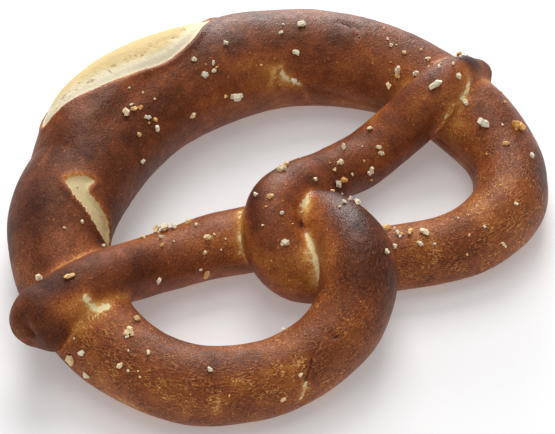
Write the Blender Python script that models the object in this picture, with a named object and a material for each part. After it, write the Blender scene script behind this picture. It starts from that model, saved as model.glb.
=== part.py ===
"""A soft pretzel, built the way it is made: one rope of dough, thick in the belly and thin in
the arms, laid in two loops, its arms twisted once and their tips pressed onto the shoulders.

The rope is swept as one tube along its route, swollen where the belly has burst open along its
cut, and dented where the tips are pinched. It passes over and under itself, so a Boolean joins
the crossings into one solid and cuts the flat underside that the baking tray gives it.

Units: the constants are millimetres and degrees, the mesh is metres. +X is across, from the
left tip to the right tip, +Y runs from the loops to the belly and +Z is up. The origin is the
middle of the underside.
"""

import math

import bmesh
import bpy
import numpy as np

MM = 0.001

# The rope's route, from the tip on the right shoulder to the tip on the left one: how far
# across and back it lies, how far it is lifted off the tray, and its radius.
ROUTE = [
    (80.9, -5.5, 12.0, 5.4),  # right tip, over the shoulder's outer side
    (72.9, -6.0, 14.0, 7.3),
    (62.4, -7.8, 13.9, 8.2),
    (51.4, -6.5, 6.7, 8.5),
    (37.4, -6.0, 1.6, 8.6),  # right arm, coming down to the tray
    (21.9, -6.5, 4.1, 8.4),
    (7.9, -8.6, 9.1, 8.7),
    (-2.6, -13.0, 12.0, 9.0),  # over the left arm
    (-9.1, -20.0, 9.5, 9.0),
    (-7.8, -27.6, 3.6, 9.8),
    (2.4, -33.6, -0.7, 9.2),  # under the left arm
    (16.9, -40.0, -0.2, 9.6),
    (33.4, -47.8, 0.0, 9.7),
    (46.9, -50.0, 0.0, 10.7),  # right loop
    (59.9, -45.5, 0.0, 11.2),
    (68.9, -32.6, 0.0, 11.3),
    (71.6, -15.0, 0.0, 12.5),  # right shoulder, under the right tip
    (68.9, 4.8, 0.0, 12.9),
    (58.9, 24.2, 0.0, 14.4),
    (41.6, 39.0, 0.0, 15.4),
    (20.2, 46.7, 0.0, 16.2),
    (-3.6, 47.4, 0.0, 15.9),  # middle of the belly
    (-26.8, 41.0, 0.0, 16.1),
    (-47.8, 29.6, 0.0, 16.1),
    (-61.6, 11.6, 0.0, 13.9),
    (-65.6, -8.8, 0.0, 12.6),  # left shoulder, under the left tip
    (-63.4, -27.6, 0.0, 11.6),
    (-53.9, -43.9, 0.0, 11.3),
    (-36.8, -53.8, 0.0, 10.7),  # left loop
    (-19.1, -55.6, 1.5, 10.7),
    (-6.1, -52.4, 5.1, 11.0),
    (2.8, -43.9, 11.1, 11.0),  # over the right arm
    (6.7, -31.7, 11.8, 9.6),
    (6.6, -20.9, 6.8, 9.4),
    (-1.0, -13.8, 0.6, 9.8),  # under the right arm
    (-17.6, -6.9, 0.0, 10.1),
    (-36.6, -1.3, 1.3, 9.1),  # left arm
    (-51.0, -2.3, 8.3, 8.5),
    (-62.9, -3.8, 13.2, 8.5),
    (-78.0, -4.4, 11.6, 9.4),  # left tip, over the shoulder's outer side
]

SEAT = 0.84  # height of a lying rope's centre over the tray, as a share of its radius
RING_STEP = 4.2  # distance between the rope's rings
SIDES = 26  # corners of a ring
CAP_RINGS = 4  # rings in each rounded tip
BEND_LIMIT = 0.8  # the rope reaches at most this share of the way to the centre of a tight bend
SPLINE_STEPS = 24  # straight runs between two points of the route, when it is measured

# The burst: the cut along the belly's outer side has opened, and the crumb has swollen out of
# it. Angles are round the rope, from 0 on its outer side, by 90 on top, to 180 on its inner side.
BURST_MIDDLE = 335.0  # along the rope from the right tip
BURST_HALF_LENGTH = 30.0
BURST_UPPER_ANGLE = 90.0
BURST_LOWER_ANGLE = -20.0
BURST_END_ANGLE = 36.0  # where both lips meet
BURST_SWELL = 5.6
BURST_LEAN = 0.35  # the swelling is fuller towards the left end by this share

# Pinches and hollows: distance along the rope, angle, half length, half angle and depth.
HOLLOWS = [
    (646.0, -40.0, 9.0, 30.0, 1.6),  # notch in the left tip
    (2.0, 60.0, 7.0, 40.0, 1.0),  # flat on the right tip
]


def spline_point(points, i, t):
    """The point at share t between points i and i + 1, on a Catmull-Rom spline."""
    last = len(points) - 1
    a = points[i - 1] if i > 0 else 2 * points[0] - points[1]
    b, c = points[i], points[i + 1]
    d = points[i + 2] if i + 2 <= last else 2 * points[last] - points[last - 1]
    return 0.5 * (2 * b + (c - a) * t + (2 * a - 5 * b + 4 * c - d) * t**2 + (3 * b - a - 3 * c + d) * t**3)


def rope_stations(step):
    """Rows of x, y, z, radius and distance along the rope, evenly spaced."""
    route = np.array([(x, y, SEAT * r + lift, r) for x, y, lift, r in ROUTE])
    dense = [
        spline_point(route, i, k / SPLINE_STEPS)
        for i in range(len(route) - 1)
        for k in range(SPLINE_STEPS)
    ]
    dense = np.array([*dense, route[-1]])
    run = np.linalg.norm(np.diff(dense[:, :3], axis=0), axis=1)
    along = np.concatenate([[0.0], np.cumsum(run)])
    count = max(2, round(along[-1] / step) + 1)
    even = np.linspace(0.0, along[-1], count)
    columns = [np.interp(even, along, dense[:, k]) for k in range(4)]
    return np.stack([*columns, even], axis=1)


def hump(distance, reach):
    """1 in the middle, falling smoothly to 0 at reach."""
    share = min(1.0, abs(distance) / reach)
    return (1.0 - share * share) ** 2


def angle_between(a, b):
    return (a - b + 180.0) % 360.0 - 180.0


def burst_relief(along, angle):
    """How far the swollen crumb stands out of the round rope."""
    share = (along - BURST_MIDDLE) / BURST_HALF_LENGTH
    if abs(share) >= 1.0:
        return 0.0
    open_share = math.sqrt(1.0 - share * share)
    upper = BURST_END_ANGLE + (BURST_UPPER_ANGLE - BURST_END_ANGLE) * open_share
    lower = BURST_END_ANGLE + (BURST_LOWER_ANGLE - BURST_END_ANGLE) * open_share
    across = abs(angle_between(angle, (upper + lower) / 2)) / ((upper - lower) / 2)
    if across >= 1.0:
        return 0.0
    swell = BURST_SWELL * open_share**2 * (1.0 + BURST_LEAN * share)
    return swell * math.cos(across * math.pi / 2)


def hollow_relief(along, angle):
    """The pinches, as a negative height."""
    return -sum(
        depth * hump(along - at, length) * hump(angle_between(angle, direction), width)
        for at, direction, length, width, depth in HOLLOWS
    )


def ring(centre, outward, up, bend, radius, along):
    """The corners of one ring of the rope. The inner side of a tight bend is squashed."""
    corners = []
    for k in range(SIDES):
        angle = 360.0 * k / SIDES
        turn = math.radians(angle)
        reach = radius + burst_relief(along, angle) + hollow_relief(along, angle)
        offset = reach * (math.cos(turn) * outward + math.sin(turn) * up)
        excess = offset @ bend - BEND_LIMIT
        if excess > 0.0:
            offset = offset - bend * excess / (bend @ bend)
        corners.append(centre + offset)
    return corners


def rope_rings():
    """Every ring from the right tip to the left one, with the rounded tips."""
    stations = rope_stations(RING_STEP)
    ahead = np.gradient(stations[:, :3], axis=0)
    ahead /= np.linalg.norm(ahead, axis=1)[:, None]
    outward = np.cross(ahead, (0.0, 0.0, 1.0))
    outward /= np.linalg.norm(outward, axis=1)[:, None]
    up = np.cross(outward, ahead)
    bend = np.gradient(ahead, stations[:, 4], axis=0)  # points to the bend's centre, 1 / its radius
    rings = []

    def add(k, lead=0.0):
        """Ring k, or one of its tip's rings: lead is the angle round the tip's end."""
        radius = stations[k, 3] * math.cos(lead)
        centre = stations[k, :3] + ahead[k] * stations[k, 3] * math.sin(lead)
        rings.append(ring(centre, outward[k], up[k], bend[k], radius, stations[k, 4]))

    leads = [math.pi / 2 * (n + 0.5) / (CAP_RINGS + 0.5) for n in range(CAP_RINGS)]
    for lead in reversed(leads):
        add(0, -lead)
    for k in range(len(stations)):
        add(k)
    for lead in leads:
        add(len(stations) - 1, lead)
    return rings


def sweep(name, rings):
    """One closed tube through the rings."""
    mesh = bmesh.new()
    loops = [[mesh.verts.new(corner * MM) for corner in corners] for corners in rings]
    for here, ahead in zip(loops, loops[1:]):
        for k in range(SIDES):
            after = (k + 1) % SIDES
            mesh.faces.new((here[k], here[after], ahead[after], ahead[k]))
    for loop, turned in ((loops[0], True), (loops[-1], False)):
        mesh.faces.new(reversed(loop) if turned else loop)
    bmesh.ops.triangulate(mesh, faces=mesh.faces)  # flat faces, so that the Boolean is exact
    bmesh.ops.recalc_face_normals(mesh, faces=mesh.faces)
    data = bpy.data.meshes.new(name)
    mesh.to_mesh(data)
    mesh.free()
    made = bpy.data.objects.new(name, data)
    bpy.context.collection.objects.link(made)
    return made


def tray():
    """A block under the rope, which cuts its underside flat. It isn't part of the pretzel."""
    size = (0.3, 0.3, 0.06)
    bpy.ops.mesh.primitive_cube_add(size=1.0, location=(0.0, 0.0, -size[2] / 2), scale=size)
    block = bpy.context.object
    block.name = "tray_cutter"
    bpy.ops.object.transform_apply(location=False, rotation=False, scale=True)
    block.hide_render = True
    block.display_type = "WIRE"
    return block


def baked_crust():
    """Lye crust: dark mahogany brown with a soft shine."""
    material = bpy.data.materials.new("baked_crust")
    material.use_nodes = True
    shader = material.node_tree.nodes["Principled BSDF"]
    shader.inputs["Base Color"].default_value = (0.155, 0.050, 0.018, 1.0)
    shader.inputs["Roughness"].default_value = 0.45
    return material


def main():
    for old in list(bpy.data.objects):
        bpy.data.objects.remove(old, do_unlink=True)
    pretzel = sweep("pretzel", rope_rings())
    pretzel.data.materials.append(baked_crust())
    pretzel.data.shade_smooth()
    flat = pretzel.modifiers.new("flat_underside", "BOOLEAN")
    flat.operation = "DIFFERENCE"
    flat.solver = "EXACT"
    flat.use_self = True
    flat.object = tray()


main()
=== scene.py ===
import math

import bpy
import numpy as np
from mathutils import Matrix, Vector, noise
from mathutils.bvhtree import BVHTree


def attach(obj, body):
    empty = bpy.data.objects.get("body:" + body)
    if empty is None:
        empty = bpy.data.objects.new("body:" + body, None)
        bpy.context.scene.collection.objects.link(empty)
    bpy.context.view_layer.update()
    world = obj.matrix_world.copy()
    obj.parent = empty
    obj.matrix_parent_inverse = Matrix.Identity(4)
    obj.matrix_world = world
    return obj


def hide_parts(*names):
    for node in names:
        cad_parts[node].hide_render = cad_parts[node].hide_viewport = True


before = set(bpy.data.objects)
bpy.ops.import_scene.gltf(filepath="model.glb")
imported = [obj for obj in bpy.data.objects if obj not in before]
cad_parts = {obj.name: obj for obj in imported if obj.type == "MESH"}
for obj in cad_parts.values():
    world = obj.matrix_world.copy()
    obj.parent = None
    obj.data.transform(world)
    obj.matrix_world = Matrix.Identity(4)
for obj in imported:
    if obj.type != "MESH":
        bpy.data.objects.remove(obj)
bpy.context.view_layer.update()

scene = bpy.context.scene

# --- Camera ------------------------------------------------------------------------------------
# The pretzel is looked down on from its front left, the way it is seen on a baker's counter.
# A long lens from 0.7 m away keeps the far belly nearly as large as the near loop.
CAMERA_DISTANCE = 0.70
CAMERA_HEIGHT = math.radians(49.0)
CAMERA_TURN = math.radians(-38.0)
LOOK_AT = Vector((0.0064, -0.0022, 0.0))
VIEW_WIDTH = 0.1665  # across the picture, at the point looked at

towards_camera = Vector((
    math.sin(CAMERA_TURN) * math.cos(CAMERA_HEIGHT),
    -math.cos(CAMERA_TURN) * math.cos(CAMERA_HEIGHT),
    math.sin(CAMERA_HEIGHT),
))
bpy.ops.object.camera_add(
    location=LOOK_AT + CAMERA_DISTANCE * towards_camera,
    rotation=towards_camera.to_track_quat("Z", "Y").to_euler(),
)
camera = bpy.context.object
camera.data.lens = camera.data.sensor_width * CAMERA_DISTANCE / VIEW_WIDTH
camera.data.clip_start = 0.01
scene.camera = camera

# --- Floor and light ---------------------------------------------------------------------------
# A sheet of white acrylic lit from below, as on a product table, in a white room. One soft lamp
# behind and a low white panel under it put a broad satin sheen on the upper and far edges.
FLOOR_COLOUR = "#f2f1f0"
FLOOR_GLOW = 0.24
SURROUNDINGS = "#f3f4f7"
SURROUNDINGS_STRENGTH = 0.44
LAMPS = [
    # name, place, size, watts
    ("back_softbox", (0.475, 0.608, 0.919), 0.6, 7.0),
    ("low_back_panel", (0.72, 0.93, 0.25), 0.6, 9.0),
    ("top_softbox", (0.0, 0.1, 1.2), 0.6, 2.0),
]


def linear(colour):
    """An sRGB hex colour as the linear red, green, blue and alpha that shaders take."""
    shares = [int(colour[k:k + 2], 16) / 255 for k in (1, 3, 5)]
    return (*[s / 12.92 if s <= 0.04045 else ((s + 0.055) / 1.055) ** 2.4 for s in shares], 1.0)


def add(tree, kind, inputs=None, ramp=None, **settings):
    """Adds a node. inputs gives each input's value, or the socket that feeds it."""
    made = tree.nodes.new("ShaderNode" + kind)
    for name, value in settings.items():
        setattr(made, name, value)
    for key, value in (inputs or {}).items():
        if isinstance(value, bpy.types.NodeSocket):
            tree.links.new(value, made.inputs[key])
        else:
            made.inputs[key].default_value = value
    if ramp:
        stops = made.color_ramp.elements
        while len(stops) < len(ramp):
            stops.new(0.5)
        for stop, (place, colour) in zip(stops, ramp):
            stop.position = place
            stop.color = linear(colour)
    return made


def new_material(name):
    """An empty material: returns it and its node tree."""
    material = bpy.data.materials.new(name)
    material.use_nodes = True
    material.node_tree.nodes.clear()
    return material, material.node_tree


def opal_acrylic():
    """White acrylic sheet, cast and rubbed matt: an even pale floor with no shine, which glows a
    little, so that shadows on it stay light."""
    material, tree = new_material("opal_acrylic")
    shader = add(tree, "BsdfPrincipled", {
        "Base Color": linear(FLOOR_COLOUR),
        "Roughness": 0.9,
        "Emission Color": linear(FLOOR_COLOUR),
        "Emission Strength": FLOOR_GLOW,
    })
    add(tree, "OutputMaterial", {"Surface": shader.outputs[0]})
    return material


world = bpy.data.worlds.new("surroundings")
world.use_nodes = True
surroundings = world.node_tree.nodes["Background"]
surroundings.inputs["Color"].default_value = linear(SURROUNDINGS)
surroundings.inputs["Strength"].default_value = SURROUNDINGS_STRENGTH
scene.world = world
scene.view_settings.view_transform = "Standard"

for name, place, size, watts in LAMPS:
    bpy.ops.object.light_add(
        type="AREA", location=place, rotation=Vector(place).to_track_quat("Z", "Y").to_euler()
    )
    lamp = bpy.context.object
    lamp.name = name
    lamp.data.size = size
    lamp.data.energy = watts

bpy.ops.mesh.primitive_plane_add(size=4.0, location=(0.0, 0.0, -0.0001))
floor = bpy.context.object
floor.name = "product_table"
floor.data.materials.append(opal_acrylic())

# --- Dough -------------------------------------------------------------------------------------
# One rope of wheat dough, rolled thick in the middle and thin at both ends, looped and twisted
# once, with its tips pressed onto the shoulders. It was dipped in lye, cut along the belly and
# baked, which set the crust dark and let the crumb swell out of the cut.
MM = 0.001

# The rope's route, from the tip on the right shoulder to the tip on the left one: how far
# across and back it lies, how far it is lifted off the tray, and its radius, in millimetres.
ROUTE = [
    (80.9, -5.5, 12.0, 5.4),  # right tip, over the shoulder's outer side
    (72.9, -6.0, 14.0, 7.3),
    (62.4, -7.8, 13.9, 8.2),
    (51.4, -6.5, 6.7, 8.5),
    (37.4, -6.0, 1.6, 8.6),  # right arm, coming down to the tray
    (21.9, -6.5, 4.1, 8.4),
    (7.9, -8.6, 9.1, 8.7),
    (-2.6, -13.0, 12.0, 9.0),  # over the left arm
    (-9.1, -20.0, 9.5, 9.0),
    (-7.8, -27.6, 3.6, 9.8),
    (2.4, -33.6, -0.7, 9.2),  # under the left arm
    (16.9, -40.0, -0.2, 9.6),
    (33.4, -47.8, 0.0, 9.7),
    (46.9, -50.0, 0.0, 10.7),  # right loop
    (59.9, -45.5, 0.0, 11.2),
    (68.9, -32.6, 0.0, 11.3),
    (71.6, -15.0, 0.0, 12.5),  # right shoulder, under the right tip
    (68.9, 4.8, 0.0, 12.9),
    (58.9, 24.2, 0.0, 14.4),
    (41.6, 39.0, 0.0, 15.4),
    (20.2, 46.7, 0.0, 16.2),
    (-3.6, 47.4, 0.0, 15.9),  # middle of the belly
    (-26.8, 41.0, 0.0, 16.1),
    (-47.8, 29.6, 0.0, 16.1),
    (-61.6, 11.6, 0.0, 13.9),
    (-65.6, -8.8, 0.0, 12.6),  # left shoulder, under the left tip
    (-63.4, -27.6, 0.0, 11.6),
    (-53.9, -43.9, 0.0, 11.3),
    (-36.8, -53.8, 0.0, 10.7),  # left loop
    (-19.1, -55.6, 1.5, 10.7),
    (-6.1, -52.4, 5.1, 11.0),
    (2.8, -43.9, 11.1, 11.0),  # over the right arm
    (6.7, -31.7, 11.8, 9.6),
    (6.6, -20.9, 6.8, 9.4),
    (-1.0, -13.8, 0.6, 9.8),  # under the right arm
    (-17.6, -6.9, 0.0, 10.1),
    (-36.6, -1.3, 1.3, 9.1),  # left arm
    (-51.0, -2.3, 8.3, 8.5),
    (-62.9, -3.8, 13.2, 8.5),
    (-78.0, -4.4, 11.6, 9.4),  # left tip, over the shoulder's outer side
]
SEAT = 0.84  # height of a lying rope's centre over the tray, as a share of its radius
ROPE_STEP = 1.2
SPLINE_STEPS = 24
TIP_RINGS = 8
VOXEL = 0.78
SMOOTH_ROUNDS = 8
OTHER_STRAND = 45.0  # a point this far along the rope belongs to another strand


def spline_point(points, i, t):
    """The point at share t between points i and i + 1, on a Catmull-Rom spline."""
    last = len(points) - 1
    a = points[i - 1] if i > 0 else 2 * points[0] - points[1]
    b, c = points[i], points[i + 1]
    d = points[i + 2] if i + 2 <= last else 2 * points[last] - points[last - 1]
    square, cube = 2 * a - 5 * b + 4 * c - d, 3 * b - a - 3 * c + d
    return 0.5 * (2 * b + (c - a) * t + square * t**2 + cube * t**3)


def rope_stations(step):
    """Rows of x, y, z, radius and distance along the rope, evenly spaced."""
    route = np.array([(x, y, SEAT * r + lift, r) for x, y, lift, r in ROUTE])
    dense = [
        spline_point(route, i, k / SPLINE_STEPS)
        for i in range(len(route) - 1)
        for k in range(SPLINE_STEPS)
    ]
    dense = np.array([*dense, route[-1]])
    run = np.linalg.norm(np.diff(dense[:, :3], axis=0), axis=1)
    along = np.concatenate([[0.0], np.cumsum(run)])
    even = np.linspace(0.0, along[-1], round(along[-1] / step) + 1)
    columns = [np.interp(even, along, dense[:, k]) for k in range(4)]
    return np.stack([*columns, even], axis=1)


rope = rope_stations(ROPE_STEP)
ahead = np.gradient(rope[:, :3], axis=0)
ahead /= np.linalg.norm(ahead, axis=1)[:, None]
outward = np.cross(ahead, (0.0, 0.0, 1.0))
outward /= np.linalg.norm(outward, axis=1)[:, None]
upward = np.cross(outward, ahead)


def rolled_rope(name):
    """The rope as a curve that carries its radius, with rounded tips, turned to a mesh."""
    leads = [math.pi / 2 * (n + 0.5) / (TIP_RINGS + 0.5) for n in range(TIP_RINGS)]
    rows = [
        (rope[0, :3] - ahead[0] * rope[0, 3] * math.sin(a), rope[0, 3] * math.cos(a)) for a in reversed(leads)
    ]
    rows += [(row[:3], row[3]) for row in rope]
    rows += [
        (rope[-1, :3] + ahead[-1] * rope[-1, 3] * math.sin(a), rope[-1, 3] * math.cos(a)) for a in leads
    ]
    curve = bpy.data.curves.new(name, "CURVE")
    curve.dimensions = "3D"
    curve.bevel_depth = MM
    curve.bevel_resolution = 12
    curve.use_fill_caps = True
    strand = curve.splines.new("POLY")
    strand.points.add(len(rows) - 1)
    for point, (centre, radius) in zip(strand.points, rows):
        point.co = (*(centre * MM), 1.0)
        point.radius = radius
    made = bpy.data.objects.new(name, curve)
    bpy.context.collection.objects.link(made)
    bpy.ops.object.select_all(action="DESELECT")
    made.select_set(True)
    bpy.context.view_layer.objects.active = made
    bpy.ops.object.convert(target="MESH")
    return bpy.context.object


def corners(mesh):
    """The mesh's vertices, in millimetres."""
    flat = np.empty(len(mesh.vertices) * 3, np.float32)
    mesh.vertices.foreach_get("co", flat)
    return flat.reshape(-1, 3).astype(float) / MM


def set_corners(mesh, places):
    mesh.vertices.foreach_set("co", (places * MM).astype(np.float32).ravel())
    mesh.update()


def apply_modifier(piece, kind, **settings):
    modifier = piece.modifiers.new(kind.lower(), kind)
    for name, value in settings.items():
        setattr(modifier, name, value)
    bpy.context.view_layer.objects.active = piece
    bpy.ops.object.modifier_apply(modifier=modifier.name)


def sit_on_tray(mesh):
    """Flattens the underside, as the tray did."""
    places = corners(mesh)
    places[:, 2] = np.maximum(places[:, 2], 0.0)
    set_corners(mesh, places)


dough = rolled_rope("dough")
sit_on_tray(dough.data)
apply_modifier(dough, "REMESH", mode="VOXEL", voxel_size=VOXEL * MM, use_smooth_shade=True)
apply_modifier(dough, "SMOOTH", factor=0.5, iterations=SMOOTH_ROUNDS)


def on_rope(places):
    """For each place: distance along the rope, angle round it, and how far another strand is.

    The angle is 0 on the rope's outer side, 90 on top and 180 on its inner side. On a tip's
    rounded end, the distance runs on past the rope's."""
    along, angle, gap = (np.empty(len(places)) for _ in range(3))
    for start in range(0, len(places), 2000):
        block = slice(start, start + 2000)
        offset = places[block, None, :] - rope[None, :, :3]
        reach = np.linalg.norm(offset, axis=2)
        nearest = np.argmin(reach / rope[:, 3], axis=1)
        rows = np.arange(len(nearest))
        lead = np.einsum("ijk,jk->ij", offset, ahead)
        here = lead[rows, nearest]
        towards = np.clip(nearest + np.where(here > 0, 1, -1), 0, len(rope) - 1)
        there = lead[rows, towards]
        share = np.clip(here / np.where(here == there, 1.0, here - there), 0.0, 1.0)
        past_tip = towards == nearest
        further = share * (rope[towards, 4] - rope[nearest, 4])
        along[block] = rope[nearest, 4] + np.where(past_tip, here, further)
        out = np.einsum("ij,ij->i", offset[rows, nearest], outward[nearest])
        up = np.einsum("ij,ij->i", offset[rows, nearest], upward[nearest])
        turned = np.degrees(np.arctan2(up, out))
        angle[block] = np.where(turned < -90.0, turned + 360.0, turned)
        other = np.abs(rope[None, :, 4] - along[block, None]) > OTHER_STRAND
        gap[block] = np.min(np.where(other, reach - rope[:, 3], 99.0), axis=1)
    return along, angle, gap


def step_up(value, low, high):
    """0 below low, 1 above high, and smooth between them."""
    share = np.clip((value - low) / (high - low), 0.0, 1.0)
    return share * share * (3.0 - 2.0 * share)


# The dough has risen against itself, so the corners where two strands meet are rounded more.
CORNER_REACH = 3.5
CORNER_ROUNDS = 36
along, angle, gap = on_rope(corners(dough.data))
corner = dough.vertex_groups.new(name="corner")
for index in np.flatnonzero(gap < CORNER_REACH):
    corner.add([int(index)], float(1.0 - step_up(gap[index], 0.5, CORNER_REACH)), "REPLACE")
apply_modifier(dough, "SMOOTH", factor=0.5, iterations=CORNER_ROUNDS, vertex_group="corner")
dough.vertex_groups.clear()

places = corners(dough.data)
along, angle, gap = on_rope(places)
radius = np.interp(along, rope[:, 4], rope[:, 3])


def turn_between(a, b):
    return (a - b + 180.0) % 360.0 - 180.0


def hump(distance, reach):
    """1 in the middle, falling smoothly to 0 at reach."""
    share = np.minimum(1.0, np.abs(distance) / reach)
    return (1.0 - share * share) ** 2


def rope_radius(at):
    return float(np.interp(at, rope[:, 4], rope[:, 3]))


def inside_outline(outline):
    """How deep each point lies inside an outline drawn on the crust, in millimetres.

    The outline's points are distances along the rope and angles round it. It is rounded by a
    spline through them. Points outside it have a negative depth."""
    points = np.array(outline, float)
    middle = points.mean(axis=0)
    arc = math.radians(1.0) * rope_radius(middle[0])
    closed = np.vstack([points[-1:], points, points[:2]])
    rounded = np.array([
        spline_point(closed, i, t / 6) for i in range(1, len(points) + 1) for t in range(6)
    ])
    edge = (rounded - middle) * (1.0, arc)
    x, y = along - middle[0], turn_between(angle, middle[1]) * arc
    near = (np.abs(x) < np.abs(edge[:, 0]).max() + 12.0) & (np.abs(y) < np.abs(edge[:, 1]).max() + 12.0)
    depth = np.full(len(along), -12.0)
    px, py = x[near], y[near]
    best = np.full(len(px), 1e9)
    crossings = np.zeros(len(px), int)
    for (ax, ay), (bx, by) in zip(edge, np.roll(edge, -1, axis=0)):
        dx, dy = bx - ax, by - ay
        share = np.clip(((px - ax) * dx + (py - ay) * dy) / (dx * dx + dy * dy + 1e-9), 0.0, 1.0)
        best = np.minimum(best, np.hypot(px - ax - share * dx, py - ay - share * dy))
        passes = (ay > py) != (by > py)
        crossings += passes & (px < ax + (py - ay) / np.where(dy == 0, 1e-9, dy) * dx)
    depth[near] = np.where(crossings % 2 == 1, best, -best)
    return depth


def beside_line(line):
    """How far each point is from a line of points drawn on the crust, in millimetres."""
    arc = math.radians(1.0) * rope_radius(line[0][0])
    best = np.full(len(along), 99.0)
    for (along_a, angle_a), (along_b, angle_b) in zip(line, line[1:]):
        x, y = along - along_a, turn_between(angle, angle_a) * arc
        dx, dy = along_b - along_a, turn_between(angle_b, angle_a) * arc
        share = np.clip((x * dx + y * dy) / (dx * dx + dy * dy + 1e-9), 0.0, 1.0)
        best = np.minimum(best, np.hypot(x - share * dx, y - share * dy))
    return best


def spot(at, turned, half_length, half_width):
    """A soft round patch on the crust: 1 in its middle, 0 from its edge outwards."""
    arc = math.radians(1.0) * rope_radius(at)
    return hump(np.hypot((along - at) / half_length, turn_between(angle, turned) * arc / half_width), 1.0)


def beside_path(path):
    """How far each point is from a line of points in space, in millimetres."""
    best = np.full(len(places), 99.0)
    for start, end in zip(np.array(path), np.array(path[1:])):
        leg = end - start
        share = np.clip((places - start) @ leg / (leg @ leg), 0.0, 1.0)
        best = np.minimum(best, np.linalg.norm(places - start - share[:, None] * leg, axis=1))
    return best


def lumps(size, seed):
    """Smooth random lumps of that size, from about -1 to 1."""
    shift = Vector((seed * 17.0, seed * 5.0, seed * 11.0))
    return np.array([noise.noise(Vector(place) / size + shift) for place in places])


# Where the crust has opened and shows crumb.
BURST = [
    (303.5, 50), (307, 66), (312, 83), (319, 92), (326, 94), (334, 88), (342, 80), (350, 70),
    (357, 59), (363, 46), (361, 34), (352, 24), (340, 14), (326, 8), (313, 18), (306, 34),
]
BURST_SEAM = [(308, 60), (317, 72), (322, 70), (330, 76), (336, 70), (344, 67), (350, 60), (357, 50)]
SECOND_BURST = [
    (380.5, 97), (383, 103), (385, 110), (387.5, 122), (391, 134), (394, 147), (396, 162),
    (397, 177), (392.5, 172), (388.5, 166), (386, 157), (384.5, 142), (383, 131), (381, 123),
    (377, 126), (377.5, 112),
]
BURST_MIDDLE = 337.0
BURST_HALF_LENGTH = 32.0
BURST_RIDGE_ANGLE = 47.0
BURST_HALF_ANGLE = 62.0
BURST_SWELL = 5.8
BURST_LEAN = 0.5


def burst_swelling():
    share = (along - BURST_MIDDLE) / BURST_HALF_LENGTH
    length = np.clip(1.0 - share * share, 0.0, 1.0)
    across = hump(turn_between(angle, BURST_RIDGE_ANGLE), BURST_HALF_ANGLE)
    return BURST_SWELL * length * (1.0 + BURST_LEAN * share) * across


burst = inside_outline(BURST)
second_burst = inside_outline(SECOND_BURST)
seam = beside_line(BURST_SEAM)
opened = np.maximum(burst, second_burst)

# Creases, cracks and folds in the skin: their line, half their width and their depth.
GROOVES = [
    ([(549, 111), (546, 140), (545, 163)], 1.6, 0.9),  # into the pit of the twist
    ([(92, 150), (96, 160), (101, 166)], 1.6, 0.9),
    ([(23, 162), (26, 174), (27, 186), (29, 198)], 1.2, 0.9),  # right arm against the shoulder
    ([(221, 184), (214, 181), (207, 180), (198, 172), (192, 162)], 0.8, 0.4),
    ([(224, 178), (217, 172), (209, 172)], 0.7, 0.3),
    ([(268, 82), (264, 86), (262, 93), (262, 103)], 0.9, 0.4),  # wrinkle on the belly
    ([(276, 173), (268, 180), (260, 187), (248, 189)], 1.0, 0.5),
    ([(281, 171), (279, 182), (277, 200)], 0.9, 0.4),
    ([(492, 58), (490, 52), (489, 42), (487, 27), (486, 14), (485, -4)], 0.8, 0.7),  # left loop
    ([(464, 49), (466, 40), (466, 30), (466, 7)], 0.8, 0.35),
    ([(499, 68), (501, 60)], 0.7, 0.4),
    ([(288, 152), (287, 158), (284, 164), (281, 170)], 1.1, 0.5),
]
# The same on the tips' rounded ends, as lines in space.
TIP_GROOVES = [
    ([(-85.0, -6.0, 25.2), (-86.5, -7.5, 23.0), (-86.5, -9.0, 20.5)], 1.2, 1.3),
    ([(-87.0, -9.0, 20.0), (-85.0, -11.5, 15.0)], 3.0, 2.0),
    ([(-82.0, -11.5, 14.0), (-78.0, -13.0, 11.5)], 2.5, -0.9),
    ([(-87.0, -1.0, 21.5), (-87.0, -3.0, 20.0)], 3.0, -0.6),
]
# Raised skin: flakes, blisters and the lips of cracks. Those with a negative height are dents.
BLISTERS = [
    # along, angle, half length, half width, height
    (10, 92, 7.0, 6.0, 0.9),
    (374, 45, 13, 24, -0.8),
    (590, 206, 24, 9.0, -1.3),
    (68, 192, 13, 8.0, 1.3),
    (494, 40, 4.5, 6.0, 0.45),
    (650, 190, 7.0, 7.0, 0.7),
    (650, 70, 6.0, 7.0, 0.5),
    (262, 104, 6.0, 5.0, 0.35),
]

HIGHEST = 31.3  # mm; what stands above this is pressed down
relief = 0.45 * lumps(14.0, 1) + 0.06 * lumps(4.5, 2) + 0.05 * lumps(1.8, 3)
relief += burst_swelling()
relief -= 0.55 * hump(burst - 0.7, 1.2)  # the crumb tears away from under the crust's lip
relief += 0.45 * hump(burst + 0.9, 1.5)
relief -= 0.5 * hump(seam, 1.4) * (0.5 + 0.5 * lumps(2.2, 4))
relief -= 0.8 * step_up(second_burst, -0.4, 1.2)
relief += 0.4 * hump(second_burst + 0.9, 1.5)
relief -= 0.25 * step_up(opened, 0.5, 2.0) * np.abs(lumps(1.6, 5))
relief -= 0.5 * np.exp(-((gap / 1.2) ** 2))
for line, half_width, depth in GROOVES:
    relief -= depth * hump(beside_line(line), 2.0 * half_width)
for path, half_width, depth in TIP_GROOVES:
    relief -= depth * hump(beside_path(path), 2.0 * half_width)
for at, turned, half_length, half_width, height in BLISTERS:
    relief += height * spot(at, turned, half_length, half_width)

flat_normals = np.empty(len(places) * 3, np.float32)
dough.data.vertices.foreach_get("normal", flat_normals)
places = places + flat_normals.reshape(-1, 3) * relief[:, None]
places[:, 2] = np.where(places[:, 2] < 0.25, 0.0, places[:, 2])
over = np.maximum(places[:, 2] - HIGHEST, 0.0)
places[:, 2] -= 0.6 * over
set_corners(dough.data, places)

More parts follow.
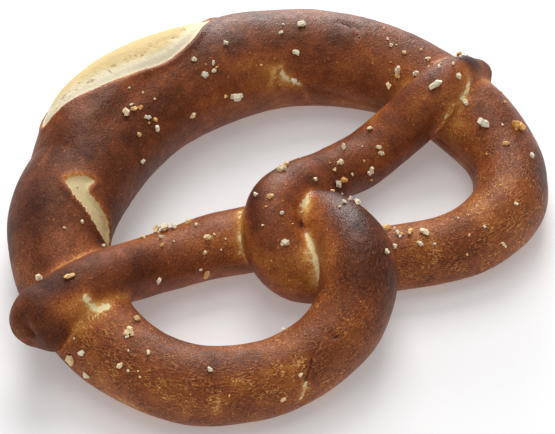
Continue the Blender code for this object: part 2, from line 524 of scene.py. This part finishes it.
# How dark the crust is painted, from 0 for cream to 1 for nearly black: mostly how it baked, first along the rope,
# then patches that are darker or paler than that. It also carries painted shade on the lower flanks and in deep
# creases, and a painted sheen beside the burst.
BAKE_ALONG = [
    (0, 0.62), (20, 0.50), (60, 0.57), (92, 0.52), (112, 0.45), (140, 0.42), (165, 0.42), (182, 0.43),
    (205, 0.53), (225, 0.54), (250, 0.54), (280, 0.57), (310, 0.62), (335, 0.61), (370, 0.60),
    (395, 0.66), (415, 0.58), (440, 0.42), (480, 0.42), (505, 0.47), (522, 0.60), (535, 0.66),
    (560, 0.56), (580, 0.44), (610, 0.49), (630, 0.56), (655, 0.64),
]
BAKE_AND_SHEEN_SPOTS = [
    # along, angle, half length, half width, change
    (524, 74, 20, 12, 0.10), (498, 66, 10, 8, 0.12), (472, 92, 16, 8, 0.10), (92, 44, 10, 10, 0.10),
    (100, 62, 12, 12, 0.08), (128, 50, 9, 9, 0.08), (8, 74, 6, 8, 0.14), (404, 22, 14, 12, -0.10),
    (336, 80, 8, 6, -0.06), (548, 62, 8, 9, 0.10), (228, 122, 8, 10, 0.10), (526, 145, 12, 12, 0.12),
    (552, 122, 7, 12, 0.10), (538, 78, 12, 10, 0.06), (450, 100, 20, 14, 0.06),
    (410, 138, 10, 10, 0.10), (300, 190, 55, 26, -0.16), (208, 172, 14, 16, -0.14),
    (258, 172, 14, 18, -0.10), (528, 172, 12, 18, -0.24), (542, 165, 10, 16, -0.12),
    (98, 2, 8, 12, -0.16), (38, 42, 8, 10, -0.20), (338, 80, 8, 7, -0.16), (361, 42, 8, 8, -0.18),
    (434, 5, 10, 14, -0.12), (446, -20, 8, 10, -0.14), (492, -18, 8, 10, -0.16),
    (552, 100, 7, 9, -0.18), (612, 60, 6, 7, -0.10), (84, 60, 8, 9, 0.06), (192, 22, 10, 9, 0.12),
    (290, 80, 7, 8, 0.12), (456, 115, 18, 11, 0.08), (552, 60, 8, 8, 0.08), (532, 138, 10, 12, -0.10),
    (548, 95, 6, 14, -0.10), (104, 120, 7, 12, 0.06), (384, 138, 7, 9, -0.10), (18, 62, 12, 6, 0.12),
    (12, 112, 9, 9, -0.14), (84, 132, 12, 7, 0.12), (97, 10, 8, 6, -0.25), (95, 50, 8, 5, 0.12),
    (150, 70, 14, 8, -0.08), (192, 25, 12, 7, 0.10), (180, 82, 8, 7, -0.10), (244, 148, 14, 13, -0.18),
    # The patch at 330 along, 102 round lightens the crust beside the burst: a painted sheen.
    (330, 102, 22, 7, -0.14), (385, 62, 10, 8, 0.14), (437, 130, 14, 8, 0.12), (516, 30, 12, 8, 0.12),
    (542, 140, 14, 14, -0.16), (550, 62, 9, 8, 0.24), (585, 122, 14, 7, -0.08), (644, 92, 12, 9, 0.12),
    (614, 135, 11, 9, 0.16), (638, 85, 9, 9, 0.16), (650, 190, 9, 9, 0.06), (641, 130, 9, 9, -0.24),
    (427, 68, 10, 11, -0.15), (402, 105, 12, 12, -0.18), (386, 142, 9, 7, -0.16),
    (400, 30, 12, 11, -0.05), (109, 52, 14, 14, -0.20), (108, 20, 10, 9, -0.10),
    (95, 75, 12, 12, -0.05), (533, 72, 16, 14, 0.08), (525, 142, 14, 7, -0.18),
    (511, 126, 12, 7, -0.14), (27, 112, 9, 8, -0.12), (45, 145, 18, 9, -0.10),
    (218, 142, 13, 11, -0.18), (190, 42, 12, 8, 0.14), (177, 50, 11, 7, -0.06),
    (171, 110, 11, 7, -0.14), (160, 45, 11, 8, 0.10), (147, 50, 9, 7, 0.06), (302, 150, 45, 12, -0.14),
    (345, 160, 35, 10, -0.06), (267, 111, 7, 5, 0.14), (302, 108, 6, 6, 0.10), (7, 97, 5, 6, 0.34),
    (489, 36, 5, 6, 0.12),
]
# Stretched or torn places on the crust: their line, half their width and how pale.
PALE_LINES = [
    ([(109, 86), (110, 76), (111, 68)], 0.8, 0.7),  # twist, a side branch
    ([(576, 70), (578, 128), (580, 152)], 0.9, 0.8),  # left arm, beside the twist
    ([(529, 34), (526, 29), (524, 15)], 0.6, 0.35),
    ([(428, 99), (427, 112)], 1.0, 0.6),  # left shoulder
    # belly
    ([(288, 152), (287, 158), (284, 164), (281, 170)], 1.1, 0.9),
    ([(293, 162), (292, 153), (291, 146), (288, 143)], 0.9, 0.6),
    ([(281, 171), (279, 182), (277, 198)], 0.7, 0.4),
    ([(261, 111), (259, 114), (257, 119), (255, 124)], 1.4, 0.3),
    ([(239, 130), (241, 146), (244, 165)], 2.4, 0.3),
    ([(375, 60), (373, 62), (370, 63)], 0.6, 0.45),
    ([(380, 94), (378, 105), (376, 120), (376, 130)], 1.1, 0.45),
    # left loop, cracks and a torn spot
    ([(466, 30), (466, 8)], 0.4, 0.5),
    ([(469.5, 58), (470.5, 59)], 0.8, 0.5),
    ([(487, 26), (486, 12), (485, -2)], 0.5, 0.95),
    ([(465.5, 40), (466, 32), (465, 12)], 0.4, 0.6),
    ([(489, 40), (487, 30)], 0.35, 0.5),
    ([(490, 60), (478, 62)], 0.6, 0.4),
]
# Creases between two strands that tore or stayed pale: their line in space, how far the
# paleness reaches from it, half its width and how pale.
PALE_CREASES = [
    ([(2.6, -19.1, 23.8), (8.4, -20.0, 25.0)], 4.0, 1.3, 1.2),  # twist, above its pit
    ([(-2.6, -30.1, 21.6), (-5.1, -36.1, 20.0), (-7.0, -38.0, 14.6)], 3.5, 1.2, 1.6),  # below it
    ([(-12.3, -10.5, 22.7), (-15.5, -13.5, 19.0), (-17.9, -16.3, 13.2)], 3.0, 1.0, 1.1),  # left of it
    ([(-64.0, -14.2, 22.5), (-54.7, -11.2, 17.1)], 3.0, 0.9, 0.6),
    ([(-74.2, -13.3, 21.6), (-77.8, -12.8, 12.6)], 3.0, 0.8, 0.5),
    ([(-66.0, 4.3, 24.4), (-57.2, 4.8, 23.3)], 3.0, 0.6, 0.6),
    ([(-80.5, 2.2, 25.6), (-81.0, 4.0, 16.0)], 3.0, 0.8, 0.5),
    ([(80.0, -14.0, 20.0), (73.0, -13.0, 23.0)], 3.0, 0.8, 0.6),
]
# The same beside a crease, as lines in space: half their width and how pale.
PALE_PATHS = [
    ([(-67.6, -10.4, 26.0), (-67.0, -12.0, 24.0), (-65.6, -13.9, 22.6), (-62.8, -14.2, 22.2)], 1.1, 1.15),
    ([(-67.6, -10.4, 26.0), (-66.4, -9.6, 26.2)], 0.8, 0.8),
    ([(71.6, -12.6, 25.6), (70.1, -13.7, 24.4), (66.7, -15.1, 23.4)], 1.1, 1.0),  # right tip
    ([(66.7, -15.1, 23.4), (62.2, -15.7, 22.9), (59.8, -16.0, 19.9)], 1.1, 0.8),
    ([(59.8, -16.0, 19.9), (57.3, -15.5, 15.7)], 0.7, 0.7),
]
# Cracks too thin for the mesh, which the material draws as dark lines of painted shade, with a groove in the bump:
# on the crust, along and angle, and in space.
CRACKS = [
    [(491, 56), (489, 42), (487, 29)],
    [(499, 62), (501, 62)],
    [(464, 49), (465.5, 42)],
    [(268, 82), (265, 86), (264, 92)],
    [(262, 99), (261, 104)],
]
CRACK_PATHS = [
    [(-0.6, -22.4, 22.0), (-1.7, -24.0, 20.4), (-2.3, -26.2, 20.2)],  # the pit of the twist
    [(57.0, -15.5, 20.5), (55.0, -15.5, 14.0)],  # right arm on the shoulder
]
# Deep places in the creases, darkened in the crust's colour: painted shade.
CREASE_SHADE_PATHS = [
    ([(-1.2, -22.9, 21.6), (-2.3, -26.4, 20.1)], 3.0, 1.0, 0.35),  # the pit of the twist
    ([(57.0, -15.5, 20.5), (55.0, -15.5, 14.0)], 4.0, 1.2, 0.25),  # right arm on the shoulder
]
# How much lighter the crust is in the crease where two strands touch.
CREASE_GOLD = [
    (0, 0.18), (35, 0.14), (60, 0.12), (220, 0.12), (245, 0.20), (275, 0.12), (380, 0.12), (392, 0.30),
    (415, 0.30), (430, 0.16), (590, 0.12), (615, 0.28), (646, 0.30),
]
# Where the skin dried matt instead of satin, from 0 to 1.
MATT_ALONG = [
    (0, 0.6), (30, 0.2), (340, 0.0), (385, 0.7), (425, 0.8), (445, 0.0), (600, 0.0), (635, 1.0), (655, 1.0),
]
HALO = 3.0  # the golden halo round a pale line is this many times as wide
PALEST_BAKE = 0.38
# How much the skin is wrinkled into pale threads along the rope, from 0 to 1.
WRINKLED_ALONG = [
    (0, 0.3), (60, 0.3), (100, 0.25), (130, 0.7), (150, 1.0), (190, 1.0), (215, 0.6), (240, 0.3), (330, 0.2),
    (375, 0.35), (400, 0.6), (420, 0.7), (440, 1.0), (500, 1.0), (525, 0.6), (545, 0.2), (570, 0.5),
    (610, 0.5), (630, 0.3), (655, 0.35),
]

bake_and_shade = np.interp(along, *np.array(BAKE_ALONG).T)
# Tops baked a little darker. The lower flanks, on both sides, are darkened too: painted shade.
bake_and_shade += 0.07 * np.sin(np.radians(angle)) + 0.12 * step_up(-angle, -55.0, 5.0) + 0.07 * step_up(angle, 125.0, 165.0)
for at, turned, half_length, half_width, change in BAKE_AND_SHEEN_SPOTS:
    bake_and_shade += change * spot(at, turned, half_length, half_width)
bake_and_shade -= np.interp(along, *np.array(CREASE_GOLD).T) * np.exp(-np.maximum(gap, 0.0) / 1.5)
bake_and_shade = np.maximum(bake_and_shade, PALEST_BAKE)


def with_halo(distance):
    return 0.55 * np.exp(-(distance**2)) + 0.45 * np.exp(-((distance / HALO) ** 2))


pale = np.zeros(len(places))
for line, half_width, strength in PALE_LINES:
    pale = np.maximum(pale, strength * with_halo(beside_line(line) / half_width))
crease = np.maximum(gap, 0.0)
for path, reach, half_width, strength in PALE_CREASES:
    here = hump(beside_path(path), 2.0 * reach)
    pale = np.maximum(pale, strength * here * with_halo(crease / half_width))
for path, half_width, strength in PALE_PATHS:
    pale = np.maximum(pale, strength * with_halo(beside_path(path) / half_width))
# Painted shade: the crust is darkened in the deep creases.
for path, reach, half_width, strength in CREASE_SHADE_PATHS:
    here = hump(beside_path(path), 2.0 * reach)
    bake_and_shade += strength * here * np.exp(-((crease / half_width) ** 2))
wrinkled = np.interp(along, *np.array(WRINKLED_ALONG).T)
cracks = [beside_line(line) for line in CRACKS] + [beside_path(path) for path in CRACK_PATHS]
cracked = np.min(cracks, axis=0)
# How golden the bare crumb has toasted, from 0 to 1.
toasted = np.where(second_burst > -1.0, 0.55, step_up(burst, 2.5, 6.0))


def keep(mesh, name, values):
    """Keeps one number for each vertex, for the materials to read."""
    mesh.attributes.new(name, "FLOAT", "POINT").data.foreach_set("value", values.astype(np.float32))


def keep_rope_coordinates(mesh):
    """Keeps, for each face's corners, millimetres along the rope and round it.

    A face takes all its corners from one strand and one turn, so that no pattern smears where
    two strands meet or where the angle starts again."""
    vertex = np.empty(len(mesh.loops), np.int32)
    mesh.loops.foreach_get("vertex_index", vertex)
    starts = np.empty(len(mesh.polygons), np.int32)
    mesh.polygons.foreach_get("loop_start", starts)
    totals = np.empty(len(mesh.polygons), np.int32)
    mesh.polygons.foreach_get("loop_total", totals)
    first = np.repeat(vertex[starts], totals)
    lead = np.where(np.abs(along[vertex] - along[first]) > 6.0, along[first], along[vertex])
    turned = turn_between(angle[vertex], angle[first])
    turned = np.where(np.abs(turned) > 60.0, 0.0, turned)
    round_it = np.radians(angle[first] + turned) * radius[first]
    values = np.stack([lead, round_it, np.zeros(len(vertex))], axis=1).astype(np.float32)
    mesh.attributes.new("on_rope", "FLOAT_VECTOR", "CORNER").data.foreach_set("vector", values.ravel())


keep(dough.data, "opened", opened)
keep(dough.data, "seam", seam)
keep(dough.data, "bake_and_shade", bake_and_shade)
keep(dough.data, "pale", pale)
keep(dough.data, "wrinkled", wrinkled)
keep(dough.data, "matt", np.interp(along, *np.array(MATT_ALONG).T))
keep(dough.data, "cracked", cracked)
keep(dough.data, "toasted", toasted)
keep(dough.data, "under", step_up(-places[:, 2], -2.5, -0.3))
keep_rope_coordinates(dough.data)


def per_mm(size):
    """The scale of a noise on object coordinates, for lumps of that many millimetres."""
    return 1.0 / (size * MM)


def maths(tree, operation, a, b=0.0, c=0.0, clamp=False):
    return add(tree, "Math", {0: a, 1: b, 2: c}, operation=operation, use_clamp=clamp).outputs[0]


def fade(tree, value, start, end, low=0.0, high=1.0):
    """Low where the value is at start, high where it is at end, and clamped."""
    return add(tree, "MapRange", {0: value, 1: start, 2: end, 3: low, 4: high}, clamp=True).outputs[0]


def lye_crust():
    """Lye-baked crust over wheat crumb. The skin is thin and satin, mahogany where the oven
    caught it, golden where it was stretched, and crossed by fine pale threads where it wrinkled
    as the dough rose. Where it has torn, the crumb is bare, matt and cream. Painted shade darkens
    its lower flanks, deep creases, thin cracks and the crumb's pores, and a painted sheen lightens
    one patch beside the burst."""
    material, tree = new_material("lye_crust")
    rope_place = add(tree, "Attribute", attribute_name="on_rope").outputs["Vector"]
    depth_inside = add(tree, "Attribute", attribute_name="opened").outputs["Fac"]
    from_seam = add(tree, "Attribute", attribute_name="seam").outputs["Fac"]
    baked_and_shaded = add(tree, "Attribute", attribute_name="bake_and_shade").outputs["Fac"]
    stretched = add(tree, "Attribute", attribute_name="pale").outputs["Fac"]
    wrinkled = add(tree, "Attribute", attribute_name="wrinkled").outputs["Fac"]
    matt = add(tree, "Attribute", attribute_name="matt").outputs["Fac"]
    from_crack = add(tree, "Attribute", attribute_name="cracked").outputs["Fac"]
    golden = add(tree, "Attribute", attribute_name="toasted").outputs["Fac"]
    under = add(tree, "Attribute", attribute_name="under").outputs["Fac"]
    place = add(tree, "TexCoord").outputs["Object"]

    def noise_of(size, detail, roughness=0.55):
        """Noise in lumps of that many millimetres, from -0.5 to 0.5 about."""
        made = add(tree, "TexNoise", {
            "Vector": place, "Scale": per_mm(size), "Detail": detail, "Roughness": roughness,
        })
        return maths(tree, "SUBTRACT", made.outputs[0], 0.5)

    def mixed(share, base, over):
        return add(tree, "Mix", {0: share, 6: base, 7: over}, data_type="RGBA").outputs[2]

    clouds = noise_of(11.0, 2.0)
    mottle = noise_of(3.4, 3.0, 0.6)
    grain = noise_of(0.75, 2.0, 0.6)
    speckle = noise_of(0.45, 1.0, 0.6)

    # Fine wavy threads where the skin has wrinkled, a little longer along the rope.
    laid = add(tree, "Mapping", {"Vector": rope_place, "Scale": (0.5 / 0.85, 1 / 0.85, 1.0)}).outputs[0]
    ridges = add(tree, "TexNoise", {
        "Vector": laid, "Scale": 1.0, "Detail": 3.0, "Roughness": 0.8,
        "Offset": 1.0, "Gain": 1.0, "Distortion": 0.5,
    }, noise_type="RIDGED_MULTIFRACTAL", normalize=False).outputs[0]
    some = fade(tree, mottle, -0.10, 0.12, 0.15, 1.0)
    threads = maths(tree, "MULTIPLY", maths(tree, "MULTIPLY", fade(tree, ridges, 1.2, 1.9), some), wrinkled)

    # Doneness and painted shade together, from 0 for cream to 1 for nearly black.
    done_and_shade = maths(tree, "MULTIPLY_ADD", clouds, 0.45, baked_and_shaded)
    done_and_shade = maths(tree, "MULTIPLY_ADD", mottle, 0.42, done_and_shade)
    done_and_shade = maths(tree, "MULTIPLY_ADD", speckle, 0.42, maths(tree, "MULTIPLY_ADD", wrinkled, 0.05, done_and_shade))
    done_and_shade = maths(tree, "MULTIPLY_ADD", threads, -0.38, done_and_shade)
    flecks = fade(tree, noise_of(0.7, 0.0), 0.26, 0.32)
    done_and_shade = maths(tree, "MULTIPLY_ADD", flecks, -0.25, done_and_shade)
    ragged = maths(tree, "MULTIPLY_ADD", noise_of(1.3, 2.0), 2.2, maths(tree, "MULTIPLY", mottle, 1.8))
    torn = maths(tree, "MULTIPLY", stretched, maths(tree, "MULTIPLY_ADD", ragged, 0.5, 1.0), clamp=True)
    done_and_shade = maths(tree, "MULTIPLY_ADD", torn, -0.42, done_and_shade)
    done_and_shade = maths(tree, "MULTIPLY_ADD", under, -0.12, done_and_shade)
    # The cracks darken the crust as painted shade and cut a groove in the bump.
    crack_and_shade = fade(tree, maths(tree, "MULTIPLY_ADD", ragged, 0.35, from_crack), 0.05, 0.45, 1.0, 0.0)
    done_and_shade = maths(tree, "MULTIPLY_ADD", crack_and_shade, 0.40, done_and_shade)
    edge = maths(tree, "MULTIPLY_ADD", ragged, 0.35, depth_inside)
    done_and_shade = maths(tree, "SUBTRACT", done_and_shade, fade(tree, edge, -1.1, 0.0, 0.0, 0.25))
    crust = add(tree, "ValToRGB", {0: done_and_shade}, ramp=[
        (0.0, "#f4d698"), (0.13, "#e2ab5c"), (0.26, "#c9803b"), (0.38, "#ae642d"), (0.50, "#934b24"),
        (0.62, "#763b1b"), (0.75, "#5b2913"), (0.88, "#461b0b"), (1.0, "#301007"),
    ]).outputs[0]

    # Crumb: palest beside the crust, golden on the open side of the pored seam.
    toasted = maths(tree, "MULTIPLY_ADD", ragged, 0.35, golden)
    crumb = add(tree, "ValToRGB", {0: toasted}, ramp=[
        (0.0, "#efe2c2"), (0.5, "#e5cf9c"), (1.0, "#dfc48d"),
    ]).outputs[0]
    # The seam's pores are darkened in the crumb's colour: painted shade in small holes.
    holes = maths(tree, "MULTIPLY_ADD", from_seam, 0.09, noise_of(1.4, 2.0))
    pore_shade = fade(tree, holes, -0.02, -0.10)
    crumb = mixed(maths(tree, "MULTIPLY", pore_shade, 0.6), crumb, linear("#a07c48"))
    split = fade(tree, maths(tree, "MULTIPLY_ADD", ragged, 0.45, stretched), 0.72, 0.88)
    crumb = mixed(split, crumb, linear("#ffebb6"))
    bare = maths(tree, "MAXIMUM", fade(tree, edge, -0.1, 0.25), split)
    colour = mixed(bare, crust, crumb)

    height = maths(tree, "MULTIPLY_ADD", threads, 0.35, maths(tree, "MULTIPLY", grain, 0.7))
    height = maths(tree, "MULTIPLY_ADD", mottle, 0.6, maths(tree, "MULTIPLY_ADD", crack_and_shade, -0.8, height))
    bump = add(tree, "Bump", {"Height": height, "Strength": 0.6, "Distance": 0.5 * MM}).outputs[0]
    rough = maths(tree, "MULTIPLY_ADD", matt, 0.25, fade(tree, mottle, -0.2, 0.2, 0.36, 0.46))
    rough = maths(tree, "MULTIPLY_ADD", maths(tree, "MAXIMUM", bare, under), 0.4, rough)
    shader = add(tree, "BsdfPrincipled", {
        "Base Color": colour,
        "Roughness": rough,
        "IOR": 1.45,
        "Specular IOR Level": 0.35,
        "Specular Tint": linear("#fff7e8"),
        "Normal": bump,
    })
    add(tree, "OutputMaterial", {"Surface": shader.outputs[0]})
    return material


dough.data.materials.clear()
dough.data.materials.append(lye_crust())
dough.data.shade_smooth()
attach(dough, "root")
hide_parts("pretzel")

# --- Salt --------------------------------------------------------------------------------------
# Coarse pretzel salt, strewn on the wet dough before baking. It is pressed from fine salt, so the
# grains are opaque chunks with blunt corners, 1 to 3 mm across, cream, and amber where the lye
# has soaked in. They sit a little sunk in the crust.
GRAIN_SHAPES = 10
GRAIN_FACES = 90
CRYSTALS = 4
GRAIN_SUNK = 0.22  # of its size
# The largest grains: along, angle, size in mm, and how amber, from 0 to 1.
LARGE_GRAINS = [
    (208, 111, 2.7, 0.0), (19, 103, 2.8, 0.1), (307, 164, 3.0, 0.1), (204, 68, 2.7, 0.9), (203, 62, 2.3, 0.8),
    (430, 9, 2.4, 0.4), (439, 94, 2.8, 0.4), (69, 152, 2.2, 0.1), (66, 149, 1.9, 0.8), (53, 151, 1.9, 0.1),
    (54, 156, 1.7, 0.1), (316, 127, 2.2, 0.0), (313, 128, 1.8, 0.1), (245, 126, 2.0, 0.2), (349, 111, 2.1, 0.3),
    (346, 114, 1.9, 0.5), (344, 130, 1.8, 0.0), (587, 110, 2.0, 0.4), (238, 121, 2.3, 0.0), (590, 174, 2.1, 0.7),
    (436, 121, 2.0, 0.5), (279, 94, 2.1, 0.1), (93, 84, 2.0, 0.6), (246, 148, 2.0, 0.3), (282, 129, 1.9, 0.1),
    (103, 84, 2.1, 0.2), (435, 6, 1.8, 0.2), (344, 146, 1.9, 0.0), (351, 136, 1.7, 0.5), (146, 94, 2.0, 0.6),
    (140, 114, 2.3, 0.7), (150, 92, 2.3, 0.2), (15, 118, 1.9, 0.2), (540, 48, 2.1, 0.1), (45, 122, 1.7, 0.2),
    (64, 112, 2.0, 0.2), (464, 76, 1.8, 0.1), (611, 166, 1.9, 0.1), (305, 105, 1.6, 0.1), (327, 160, 1.8, 0.4),
    (218, 112, 1.6, 0.2), (78, 128, 1.5, 0.2), (148, 70, 1.7, 0.1), (92, 54, 1.5, 0.1), (58, 85, 1.6, 0.1),
    (356, 160, 1.6, 0.1), (542, 55, 1.4, 0.1), (540, 76, 1.4, 0.1), (42, 76, 1.4, 0.3), (526, 48, 1.9, 0.2),
    (641, 44, 1.9, 0.3), (636, 88, 2.0, 0.6), (432, 31, 1.8, 0.1), (442, 47, 1.6, 0.3), (447, 81, 1.4, 0.2),
    (251, 98, 1.5, 0.1), (169, 24, 1.7, 0.3), (193, 60, 1.6, 0.1), (598, 52, 2.9, 0.2), (600, 44, 2.3, 0.4),
    (595, 60, 1.8, 0.1), (590, 58, 1.7, 0.5), (607, 62, 1.4, 0.3), (84, 70, 2.0, 0.3), (80, 64, 1.5, 0.6),
]
# Where smaller grains lie in numbers: along, angle, how far they spread in mm, and how many.
GRAIN_CLUSTERS = [
    (14, 84, 6, 9), (236, 92, 6, 6), (144, 104, 8, 6), (50, 140, 9, 5), (250, 125, 14, 7), (345, 118, 10, 7),
    (315, 130, 12, 6), (585, 110, 9, 6), (545, 60, 12, 6), (440, 60, 12, 6), (205, 90, 14, 5), (600, 60, 8, 5),
    (165, 60, 16, 6), (100, 80, 10, 4), (285, 110, 14, 6), (395, 100, 14, 4), (480, 80, 20, 4), (70, 110, 10, 4),
]
CLUSTER_SIZES = (0.6, 1.5)  # mm

dice = np.random.default_rng(7)
crust_surface = BVHTree.FromObject(dough, bpy.context.evaluated_depsgraph_get())


def salt_chunk(seed):
    """One pressed grain, 1 mm across, as points and faces: a few crystals grown together."""
    cuts = np.random.default_rng(seed)
    bpy.ops.object.select_all(action="DESELECT")
    crystals = []
    for _ in range(CRYSTALS):
        bpy.ops.mesh.primitive_cube_add(
            size=cuts.uniform(0.4, 0.7), location=cuts.normal(0.0, 0.16, 3), rotation=cuts.uniform(0.0, 3.0, 3)
        )
        crystals.append(bpy.context.object)
    for crystal in crystals:
        crystal.select_set(True)
    bpy.ops.object.join()
    chunk = bpy.context.object
    bpy.ops.object.transform_apply(location=True, rotation=True, scale=True)
    apply_modifier(chunk, "REMESH", mode="VOXEL", voxel_size=0.07)
    apply_modifier(chunk, "DECIMATE", ratio=GRAIN_FACES / (2 * len(chunk.data.polygons)))
    bpy.ops.object.mode_set(mode="EDIT")
    bpy.ops.mesh.select_all(action="SELECT")
    bpy.ops.mesh.quads_convert_to_tris()
    bpy.ops.transform.vertex_random(offset=0.02, seed=seed)
    bpy.ops.mesh.normals_make_consistent(inside=False)
    bpy.ops.object.mode_set(mode="OBJECT")
    points = np.array([vertex.co[:] for vertex in chunk.data.vertices])
    faces = np.array([face.vertices[:] for face in chunk.data.polygons])
    bpy.data.objects.remove(chunk)
    return points / np.ptp(points, axis=0).mean(), faces


def on_crust(at, turned):
    """The place on the crust at that distance along the rope and angle round it, and its normal."""
    row = np.array([np.interp(at, rope[:, 4], rope[:, k]) for k in range(4)])
    near = int(round(at / rope[-1, 4] * (len(rope) - 1)))
    aside = math.cos(math.radians(turned)) * outward[near] + math.sin(math.radians(turned)) * upward[near]
    hit, normal, _, _ = crust_surface.find_nearest(Vector((row[:3] + row[3] * aside) * MM))
    return np.array(hit) / MM, np.array(normal)


def turned_at_random():
    turn, _ = np.linalg.qr(dice.normal(size=(3, 3)))
    return turn * np.sign(np.linalg.det(turn))


grains = list(LARGE_GRAINS)
for at, turned, spread, count in GRAIN_CLUSTERS:
    for _ in range(count):
        size = CLUSTER_SIZES[0] + (CLUSTER_SIZES[1] - CLUSTER_SIZES[0]) * dice.random() ** 2
        aside = np.degrees(dice.normal(0.0, spread / 2) / rope_radius(at))
        grains.append((at + dice.normal(0.0, spread / 2), turned + aside, size, dice.random() ** 2))

chunks = [salt_chunk(seed) for seed in range(GRAIN_SHAPES)]
salt_points, salt_faces, salt_amber = [], [], []
for number, (at, turned, size, amber) in enumerate(grains):
    points, faces = chunks[number % GRAIN_SHAPES]
    place, normal = on_crust(at, turned)
    stretch = dice.uniform(0.75, 1.35, 3)
    shaped = (points * stretch * size) @ turned_at_random().T
    lift = (0.5 - GRAIN_SUNK) * size
    salt_faces.append(faces + sum(len(group) for group in salt_points))
    salt_points.append((shaped + place + normal * lift) * MM)
    salt_amber.append(np.full(len(points), amber))

salt_mesh = bpy.data.meshes.new("salt")
salt_mesh.from_pydata(np.concatenate(salt_points).tolist(), [], np.concatenate(salt_faces).tolist())
keep(salt_mesh, "amber", np.concatenate(salt_amber))
salt = bpy.data.objects.new("salt", salt_mesh)
bpy.context.collection.objects.link(salt)


def pressed_salt():
    """Fine salt pressed into chunks: opaque, matt and a little gritty, cream to amber."""
    material, tree = new_material("pressed_salt")
    amber = add(tree, "Attribute", attribute_name="amber").outputs["Fac"]
    place = add(tree, "TexCoord").outputs["Object"]
    grit = add(tree, "TexNoise", {"Vector": place, "Scale": per_mm(0.5), "Detail": 2.0}).outputs[0]
    stain = maths(tree, "MULTIPLY_ADD", grit, 0.5, maths(tree, "ADD", amber, -0.25))
    colour = add(tree, "ValToRGB", {0: stain}, ramp=[
        (0.0, "#fff6dc"), (0.3, "#ffe8b9"), (0.65, "#ffcc80"), (1.0, "#f0a950"),
    ]).outputs[0]
    bump = add(tree, "Bump", {"Height": grit, "Strength": 0.5, "Distance": 0.1 * MM}).outputs[0]
    shader = add(tree, "BsdfPrincipled", {
        "Base Color": colour,
        "Roughness": 0.6,
        "IOR": 1.54,
        "Specular IOR Level": 0.4,
        "Subsurface Weight": 0.2,
        "Subsurface Radius": (1.0, 0.9, 0.7),
        "Subsurface Scale": 0.4 * MM,
        "Normal": bump,
    })
    add(tree, "OutputMaterial", {"Surface": shader.outputs[0]})
    return material


salt.data.materials.append(pressed_salt())
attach(salt, "root")
